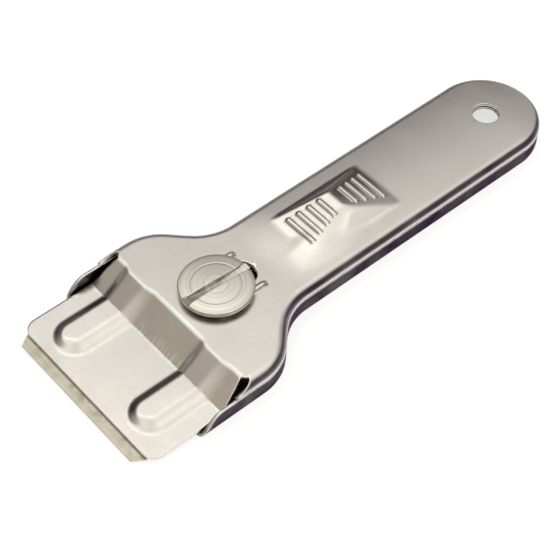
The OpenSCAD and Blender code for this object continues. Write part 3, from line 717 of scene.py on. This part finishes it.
def pressed_nickel(name, color, shade, worn, grime_and_shade, painted_shade_color, rough, grime_shade_amount=1.0):
    """Satin nickel plate on a pressed sheet: grain and clouds, a film of handling, painted shade as dark bands and
    flanks that stand for dark reflections, pale scuffs at the step's foot, bright worn edges, and brown grime with
    painted shade in the hollow corners."""
    material, tree, shader, at = new_metal(name)
    grain = part(tree, GRAIN, {"Vector": at})
    film = part(tree, FILM, {"Vector": at})["Mask"]
    edge = part(tree, WEAR, {"Edge": level(tree, "edge"), "Vector": at})["Mask"]
    crease = part(tree, GRIME_AND_SHADE, {"Crease": level(tree, "crease"), "Vector": at, "Amount": grime_shade_amount})["Mask"]
    c = mixed(tree, math(tree, "MULTIPLY", grain["Cloud"], 0.55), (*color, 1), (*shade, 1))
    c = mixed(tree, ranged(tree, grain["Tone"], 0.36, 0.64, 0.0, 0.45), c, (*shade, 1))
    c = mixed(tree, math(tree, "MULTIPLY", film, 0.25), c, (*shade, 1))
    # Painted shade: this mask darkens the steep rolled edge and the lower walls for the dark reflections they'd show
    dark = math(tree, "MULTIPLY", level(tree, "painted_shade"), ranged(tree, grain["Cloud"], 0.0, 1.0, 0.8, 0.98))
    c = mixed(tree, dark, c, (*painted_shade_color, 1))
    # The painted shade on the flanks is a little paler and browner than the painted dark bands
    c = mixed(tree, math(tree, "MULTIPLY", level(tree, "painted_flank_shade"), 0.93), c, (0.075, 0.058, 0.048, 1))
    axis = place(tree, "ShaderNodeSeparateXYZ", {0: at}).outputs
    foot = math(tree, "MULTIPLY", ranged(tree, axis["X"], (STEP_X - 0.9) * MM, (STEP_X - 0.2) * MM),
                ranged(tree, axis["X"], (STEP_X + 2.2) * MM, (STEP_X + 0.7) * MM))
    between_beads = ranged(tree, math(tree, "ABSOLUTE", axis["Y"]), 8.3 * MM, 7.6 * MM)
    foot = math(tree, "MULTIPLY", foot, between_beads)
    foot = math(tree, "MULTIPLY", foot, ranged(tree, axis["Z"], 2.0 * MM, 2.5 * MM))
    lines = noise(tree, scaled(tree, at, (0.12, 1.0, 0.05)), 2600.0, 1.0)
    scuffs = math(tree, "MULTIPLY", foot, ranged(tree, lines, 0.5, 0.56, 0.0, 0.75))
    c = mixed(tree, scuffs, c, (0.98, 0.96, 0.92, 1))
    # Grime and painted shade in the hollow corners
    c = mixed(tree, crease, c, (*grime_and_shade, 1))
    c = mixed(tree, edge, c, (*worn, 1))
    r = math(tree, "ADD", ranged(tree, grain["Tone"], 0.3, 0.7, rough - 0.02, rough + 0.04),
             math(tree, "MULTIPLY", film, 0.05))
    r = math(tree, "SUBTRACT", math(tree, "ADD", r, math(tree, "MULTIPLY", crease, 0.25)),
             math(tree, "MULTIPLY", edge, 0.05))
    finish_metal(tree, shader, c, r, grain["Height"], 0.03, 0.00003)
    return material


def ground_steel():
    """Carbon steel blade: ground lines along the edge, a honed bright bevel, oil stains, and a darker olive line
    along the jaw's edge."""
    material, tree, shader, at = new_metal("blade_steel")
    grain = part(tree, GRAIN, {"Vector": at})
    axis = place(tree, "ShaderNodeSeparateXYZ", {0: at}).outputs
    ground = noise(tree, scaled(tree, at, (1.0, 0.03, 1.0)), 9000.0, 2.0)
    stain = ranged(tree, noise(tree, at, 420.0, 5.0), 0.46, 0.66)
    ragged = math(tree, "ADD", axis["X"], math(tree, "MULTIPLY", noise(tree, at, 500.0, 3.0), 0.0004))
    bevel = ranged(tree, axis["X"], (EDGE_X + 1.55) * MM, (EDGE_X + 1.35) * MM)
    honed = ranged(tree, ragged, (EDGE_X + 0.75) * MM, (EDGE_X + 0.5) * MM)
    lip = ranged(tree, axis["X"], (EDGE_X + 0.16) * MM, (EDGE_X + 0.06) * MM)
    # A darker olive line on the blade along the jaw's edge
    jaw_line = ranged(tree, ragged, (JAW_X - 0.35) * MM, (JAW_X - 0.05) * MM)
    c = mixed(tree, ranged(tree, ground, 0.3, 0.7, 0.0, 0.5), (0.75, 0.71, 0.60, 1), (0.63, 0.59, 0.485, 1))
    c = mixed(tree, math(tree, "MULTIPLY", stain, 0.6), c, (0.46, 0.41, 0.29, 1))
    c = mixed(tree, math(tree, "MULTIPLY", bevel, 0.75), c, (0.67, 0.635, 0.53, 1))
    c = mixed(tree, honed, c, (0.71, 0.675, 0.585, 1))
    c = mixed(tree, lip, c, (0.30, 0.28, 0.24, 1))
    c = mixed(tree, math(tree, "MULTIPLY", jaw_line, 0.6), c, (0.30, 0.27, 0.16, 1))
    r = math(tree, "ADD", ranged(tree, grain["Tone"], 0.3, 0.7, 0.42, 0.5), math(tree, "MULTIPLY", stain, 0.12))
    finish_metal(tree, shader, c, r, ground, 0.15, 0.00002)
    return material


def turned_metal(name, color, shade, rough, grime_and_shade=None):
    """Turned and thinly plated steel: lathe rings about the screw's axis and a film of handling. With a colour
    of grime and painted shade, that lies in the hollows and the edges are bright."""
    material, tree, shader, at = new_metal(name)
    local = place(tree, "ShaderNodeVectorMath", {0: at, 1: (SCREW_X * MM, 0, 0)}, operation="SUBTRACT").outputs[0]
    rings = part(tree, TURNED, {"Vector": local, "Pitch": 0.00026})
    grain = part(tree, GRAIN, {"Vector": at})
    film = part(tree, FILM, {"Vector": at})["Mask"]
    c = mixed(tree, rings["Tone"], (*shade, 1), (*color, 1))
    c = mixed(tree, math(tree, "MULTIPLY", film, 0.3), c, (*shade, 1))
    if grime_and_shade:
        crease = part(tree, GRIME_AND_SHADE, {"Crease": level(tree, "crease"), "Vector": at})["Mask"]
        edge = part(tree, WEAR, {"Edge": level(tree, "edge"), "Vector": at, "Amount": 0.8})["Mask"]
        # Grime and painted shade in the hollows and the sawn slot
        c = mixed(tree, crease, c, (*grime_and_shade, 1))
        c = mixed(tree, edge, c, (*color, 1))
    r = math(tree, "ADD", ranged(tree, rings["Tone"], 0.0, 1.0, rough + 0.06, rough - 0.03),
             math(tree, "MULTIPLY", grain["Cloud"], 0.05))
    finish_metal(tree, shader, c, r, rings["Height"], 0.35, 0.00002)
    return material


def rolled_strip(name, color, shade, rough):
    """Plain rolled strip: long fine lines along the tool, cloudy oil stains and small dark specks."""
    material, tree, shader, at = new_metal(name)
    grain = part(tree, GRAIN, {"Vector": at, "Fineness": 0.8})
    film = part(tree, FILM, {"Vector": at})["Mask"]
    lines = noise(tree, scaled(tree, at, (0.03, 1.0, 1.0)), 4200.0, 2.0)
    specks = ranged(tree, grain["Tone"], 0.66, 0.78, 0.0, 0.8)
    c = mixed(tree, ranged(tree, lines, 0.3, 0.7), (*color, 1), (*shade, 1))
    c = mixed(tree, math(tree, "MULTIPLY", film, 0.5), c, (*shade, 1))
    c = mixed(tree, specks, c, (shade[0] * 0.4, shade[1] * 0.38, shade[2] * 0.34, 1))
    r = math(tree, "ADD", ranged(tree, lines, 0.3, 0.7, rough, rough + 0.08), math(tree, "MULTIPLY", film, 0.08))
    finish_metal(tree, shader, c, r, lines, 0.2, 0.00002)
    return material


# ---------------- pieces


def painted_shade(points, quads, bend):
    """Painted shade, as two masks: a dark band along the steep part of the rolled edge, and the far flanks of the
    grip and the beads and the grip's rear slope between its ridges, darkened to stand for the dark reflections
    that these slopes would show. Both come from the surface's tilt, its bend and its place."""
    normal = vertex_normals(points, quads)
    x, y, z = points.T
    half = np.where(x < TAIL_X, outline_at(x)[0], HANDLE_W / 2)
    depth = half - np.where(x < TAIL_X, np.abs(y), np.hypot(x - TAIL_X, y))
    tilt = np.arccos(np.clip(normal[:, 2], -1, 1))
    band = smooth(tilt, 0.33, 0.66) * smooth(-tilt, -1.5, -1.2) * (depth < 2.2) * (z > RIM_Z - 0.3)
    upward, at_grip = normal[:, 2] > 0.3, np.abs(y) < 8.5
    pressed = ((np.abs(x - GRIP_X) < 12.5) & at_grip) | (x < STEP_X - 0.3)
    painted_flank_shade = smooth(normal[:, 1], 0.16, 0.48) * pressed * upward
    rear = smooth(normal[:, 0], 0.06, 0.2) * smooth(y, -6.5, 3.0) * (np.abs(x - GRIP_X - 6.5) < 6.5) * at_grip
    return band, np.maximum(painted_flank_shade, 0.92 * rear * np.clip(1 - 1.5 * bend, 0, 1) * upward)


def show(name, points, quads, body, slot, material, replaces, sharp=None):
    """Piece with its masks: how worn its edges are, how much grime and painted shade its hollow corners and the
    sawn slot hold, and where the two sheets carry painted shade for their dark reflections."""
    piece = make_piece(name, points, quads, body, material, replaces, sharp)
    x, y, z = points.T
    bend = bends(points, quads)
    mask(piece, "edge", np.clip((bend - 0.55) / 1.6, 0, 1))
    crease = np.clip((-bend - 0.3) / 1.3, 0, 1)
    if name == "upper_sheet":
        # Painted shade: masks that darken the rolled edge and the far slopes for their dark reflections
        band, painted_flank_shade = painted_shade(points, quads, bend)
        mask(piece, "painted_shade", band)
        mask(piece, "painted_flank_shade", painted_flank_shade)
    # Painted shade on the lower shell's steep walls, for the dark reflection that they would show
    if name == "lower_sheet":
        upright = np.abs(vertex_normals(points, quads)[:, 2])
        mask(piece, "painted_shade", smooth(-upright, -0.8, -0.45) * (z < 5.3))
    if name == "coin_screw":
        # Painted shade in the sawn coin slot, laid on with the grime colour
        sawn = (np.hypot(x - SCREW_X, y) < 8.6) & (z > COIN_Z - 0.3) & (z < HEAD_TOP - 0.3)
        crease = np.maximum(crease, 0.62 * sawn)
    mask(piece, "crease", crease)


# The near-black colours below are painted shade for dark reflections; the grime colours are grime and painted shade
upper_nickel = pressed_nickel(
    "upper_nickel", color=(0.80, 0.775, 0.74), shade=(0.70, 0.67, 0.62), worn=(0.86, 0.84, 0.80),
    grime_and_shade=(0.18, 0.145, 0.105), painted_shade_color=(0.055, 0.044, 0.06), rough=0.27, grime_shade_amount=0.9)
lower_nickel = pressed_nickel(
    "lower_nickel", color=(0.68, 0.66, 0.63), shade=(0.58, 0.55, 0.51), worn=(0.84, 0.82, 0.79),
    grime_and_shade=(0.06, 0.05, 0.045), painted_shade_color=(0.024, 0.019, 0.027), rough=0.31)
# The painted dark wall stays dark when it is seen at a low angle: the purple specular tint is painted shade too
lower_nickel.node_tree.nodes["Principled BSDF"].inputs["Specular Tint"].default_value = (0.4, 0.33, 0.45, 1)
screw_nickel = turned_metal("screw_nickel", (0.88, 0.855, 0.79), (0.60, 0.58, 0.50), 0.27, (0.17, 0.19, 0.165))
nut_steel = turned_metal("nut_steel", (0.70, 0.68, 0.62), (0.52, 0.50, 0.44), 0.3)
strip_steel = rolled_strip("strip_steel", (0.62, 0.61, 0.58), (0.46, 0.45, 0.42), 0.34)
# The washer's near-black colour is painted shade: it stands for the deep shadow under the screw head
washer_painted_shade = rolled_strip("washer_painted_shade", (0.18, 0.17, 0.17), (0.10, 0.10, 0.10), 0.42)

# Both sheets are 0.02 mm thinner than the solids', so that what bears on them doesn't share a plane
upper = thicken(*build_upper_surface(), UPPER_T - 0.02)
lower = thicken(*build_lower_surface(), LOWER_T - 0.02, 0.12)
show("upper_sheet", *upper, "cover", "upper_plate", upper_nickel, ["upper_shell"])
show("lower_sheet", *lower, "base", "lower_plate", lower_nickel, ["lower_shell"])
show("coin_screw", *build_screw(), "screw", "screw_plate", screw_nickel, ["clamp_screw"], 40)
for name, material in {"carriage": strip_steel, "blade_pegs": nut_steel, "blade": ground_steel(),
                       "clamp_nut": nut_steel, "washer": washer_painted_shade}.items():
    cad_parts[name].data.materials.clear()
    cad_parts[name].data.materials.append(material)

# ---------------- floor, light, camera

FLOOR_GLOW, FLOOR_HALF, FLOOR_Z = 0.66, 2.0, -0.02 * MM


def white_floor():
    """Matt white floor: lit by the studio, plus a plain glow for what the camera, metal and glass see of it, so
    that it is white and still holds the tool's soft shadow. From below it is open, so that the underside
    can be looked at."""
    material = bpy.data.materials.new("white_floor")
    material.use_nodes = True
    tree = material.node_tree
    shader = tree.nodes["Principled BSDF"]
    shader.inputs["Base Color"].default_value = (0.56, 0.56, 0.56, 1)
    shader.inputs["Roughness"].default_value = 0.95
    shader.inputs["Specular IOR Level"].default_value = 0.1
    shader.inputs["Emission Color"].default_value = (1, 1, 1, 1)
    ray = place(tree, "ShaderNodeLightPath").outputs
    seen = math(tree, "MAXIMUM", ray["Is Camera Ray"], ray["Is Glossy Ray"])
    seen = math(tree, "MAXIMUM", seen, ray["Is Transmission Ray"])
    tree.links.new(math(tree, "MULTIPLY", seen, FLOOR_GLOW), shader.inputs["Emission Strength"])
    below = place(tree, "ShaderNodeNewGeometry").outputs["Backfacing"]
    clear = place(tree, "ShaderNodeBsdfTransparent").outputs[0]
    surface = place(tree, "ShaderNodeMixShader", {0: below, 1: shader.outputs[0], 2: clear}).outputs[0]
    tree.links.new(surface, tree.nodes["Material Output"].inputs["Surface"])
    return material


def lay_floor():
    """Square floor, a hair under the tool."""
    mesh = bpy.data.meshes.new("floor")
    mesh.from_pydata([(FLOOR_HALF * x, FLOOR_HALF * y, FLOOR_Z) for x, y in ((-1, -1), (1, -1), (1, 1), (-1, 1))],
                     [], [[0, 1, 2, 3]])
    mesh.materials.append(white_floor())
    floor = bpy.data.objects.new("floor", mesh)
    bpy.context.scene.collection.objects.link(floor)


def grey_ramp(tree, value, stops):
    """Curve of straight lines through (position, brightness) stops. Ramps hold no more than 1, so the numbers
    are halved in the ramp and doubled behind it."""
    ramp = tree.nodes.new("ShaderNodeValToRGB")
    tree.links.new(value, ramp.inputs[0])
    for k, (position, bright) in enumerate(stops):
        stop = ramp.color_ramp.elements[0] if k == 0 else ramp.color_ramp.elements.new(position)
        stop.position, stop.color = position, (bright / 2, bright / 2, bright / 2, 1)
    ramp.color_ramp.elements.remove(ramp.color_ramp.elements[-1])
    return math(tree, "MULTIPLY", ramp.outputs[0], 2.0)


def studio():
    """Soft studio: a big soft light above and beyond the tool, which fades below about 46 degrees to a dim
    horizon, brighter behind the camera and beyond the tail, with a paler wall on the side of the blade.
    Brightness comes from the direction of the ray: a curve of its height times a curve of its X."""
    world = bpy.data.worlds.new("studio")
    bpy.context.scene.world = world
    world.use_nodes = True
    tree = world.node_tree
    way = tree.nodes.new("ShaderNodeTexCoord").outputs["Generated"]
    axis = place(tree, "ShaderNodeSeparateXYZ", {0: way}).outputs
    # On the near side the light reaches further down
    raised = math(tree, "ADD", axis["Z"], ranged(tree, axis["Y"], 0.1, -0.45, 0.0, 0.125))
    height = grey_ramp(tree, raised, [(0.0, 0.045), (0.5, 0.07), (0.62, 0.15), (0.68, 0.37), (0.735, 0.76), (0.78, 1.0),
                                      (0.82, 1.26), (0.87, 1.4), (0.93, 1.2), (0.998, 0.84)])
    along = grey_ramp(tree, math(tree, "MULTIPLY", math(tree, "ADD", axis["X"], 1.0), 0.5),
                      [(0.0, 0.7), (0.35, 0.95), (0.5, 1.08), (0.57, 1.4), (0.6, 1.38), (0.645, 1.1), (0.69, 0.91),
                       (0.739, 0.83), (0.783, 0.73), (0.85, 0.7), (0.99, 0.7)])
    bright = math(tree, "MULTIPLY", height, along)
    bright = math(tree, "MULTIPLY", bright, ranged(tree, axis["Y"], -0.1, -0.55, 1.0, 1.2))
    # Dim light from the sides, which keeps low views from going dark
    aside = math(tree, "MAXIMUM", ranged(tree, axis["Y"], -0.52, -0.8), ranged(tree, axis["X"], 0.62, 0.8))
    aside = math(tree, "MAXIMUM", aside, ranged(tree, axis["Y"], 0.6, 0.95, 0.0, 0.5))
    aside = math(tree, "MULTIPLY", aside, ranged(tree, axis["Z"], -0.05, 0.3, 0.0, 0.5))
    bright = math(tree, "MAXIMUM", bright, aside)
    tint = mixed(tree, ranged(tree, bright, 0.1, 0.9), (1.0, 0.93, 1.0, 1), (1.0, 0.975, 0.93, 1))
    ceiling = place(tree, "ShaderNodeVectorMath", {0: tint, "Scale": bright}, operation="SCALE").outputs[0]
    wall = math(tree, "MULTIPLY", ranged(tree, axis["X"], -0.4, -0.8), ranged(tree, axis["Z"], 0.02, 0.4))
    wall = math(tree, "MULTIPLY", wall, ranged(tree, axis["Z"], 0.75, 0.6))
    tree.links.new(mixed(tree, wall, ceiling, (0.58, 0.525, 0.43, 1)), tree.nodes["Background"].inputs["Color"])


def photo_camera():
    """Long lens that looks from the front right and above. Its focal length is in pixels of the photograph."""
    azimuth, elevation, roll = np.radians(-41.59), np.radians(50.77), np.radians(0.91)
    focal, width, distance, aim = 1541.5, 560, 0.3306, Vector((-0.01179, -0.00196, 0))
    back = Vector((np.sin(azimuth) * np.cos(elevation), -np.cos(azimuth) * np.cos(elevation), np.sin(elevation)))
    right = Vector((np.cos(azimuth), np.sin(azimuth), 0))
    up = back.cross(right)
    lens = bpy.data.cameras.new("camera")
    lens.sensor_width = 36
    lens.lens = focal * lens.sensor_width / width
    camera = bpy.data.objects.new("camera", lens)
    bpy.context.scene.collection.objects.link(camera)
    turn = Matrix((np.cos(roll) * right + np.sin(roll) * up, np.cos(roll) * up - np.sin(roll) * right, back))
    camera.matrix_world = Matrix.Translation(aim + back * distance) @ turn.transposed().to_4x4()
    bpy.context.scene.camera = camera


lay_floor()
studio()
photo_camera()
bpy.context.scene.view_settings.view_transform = "Standard"
